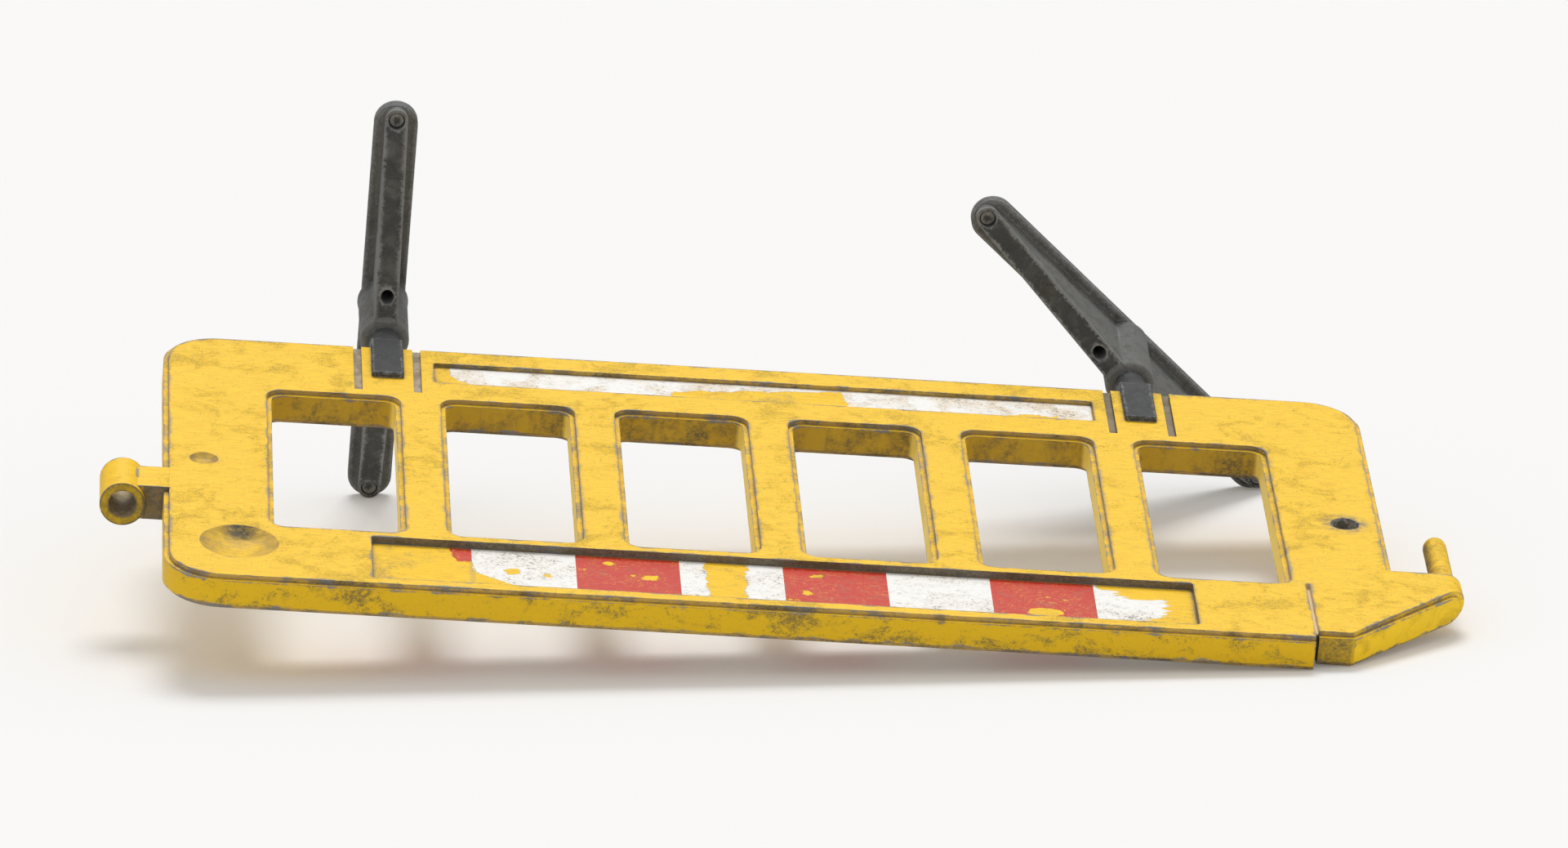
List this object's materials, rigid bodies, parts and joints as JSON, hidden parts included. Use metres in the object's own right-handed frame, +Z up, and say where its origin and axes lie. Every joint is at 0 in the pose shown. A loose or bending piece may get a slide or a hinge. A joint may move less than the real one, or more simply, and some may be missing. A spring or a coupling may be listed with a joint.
{
  "type": "crowd control barrier",
  "caption": "Long windowed plastic panel barrier with recessed reflective bands, an end hook and ring socket for linking, and swivelling bar feet.",
  "frame": {"origin": "centre of the overall box at ground level, under the panel's mid-plane, standing upright on both feet", "axes": "+Z up, +X along the panel towards the socket end, -Y out of the front face"},
  "size_m": [1.9896, 0.6398, 1.1505],
  "materials": {
    "yellow_plastic": "satin, grained",
    "black_plastic": "satin",
    "foot_rubber": "matte, grained",
    "red_sheeting": "retroreflective sheeting",
    "white_sheeting": "retroreflective sheeting",
    "zinc_steel": "zinc plated"
  },
  "bodies": {
    "panel": {"front_moulding": "yellow_plastic", "rear_moulding": "yellow_plastic", "link_socket": "yellow_plastic", "hook_pin": "yellow_plastic", "front_wide_red": "red_sheeting", "front_wide_white": "white_sheeting", "rear_wide_red": "red_sheeting", "rear_wide_white": "white_sheeting", "front_narrow_white": "white_sheeting", "rear_narrow_white": "white_sheeting", "socket_end_clip": "black_plastic", "socket_end_pivot_washer": "zinc_steel", "socket_end_pivot_bolt": "zinc_steel", "hook_end_clip": "black_plastic", "hook_end_pivot_washer": "zinc_steel", "hook_end_pivot_bolt": "zinc_steel"},
    "socket_end_foot": {"socket_end_foot_bar": "foot_rubber", "socket_end_tip_studs": "foot_rubber", "socket_end_pivot_bush": "black_plastic"},
    "hook_end_foot": {"hook_end_foot_bar": "foot_rubber", "hook_end_tip_studs": "foot_rubber", "hook_end_pivot_bush": "black_plastic"}
  },
  "joints": [
    {"name": "socket_end_swivel", "type": "hinge", "parent": "panel", "child": "socket_end_foot", "pos_m": [0.5694, 0, 0.154], "axis": [0, 0, 1], "range_deg": [-90, 90]},
    {"name": "hook_end_swivel", "type": "hinge", "parent": "panel", "child": "hook_end_foot", "pos_m": [-0.557, 0, 0.154], "axis": [0, 0, 1], "range_deg": [-138.4, 41.6]}
  ]
}
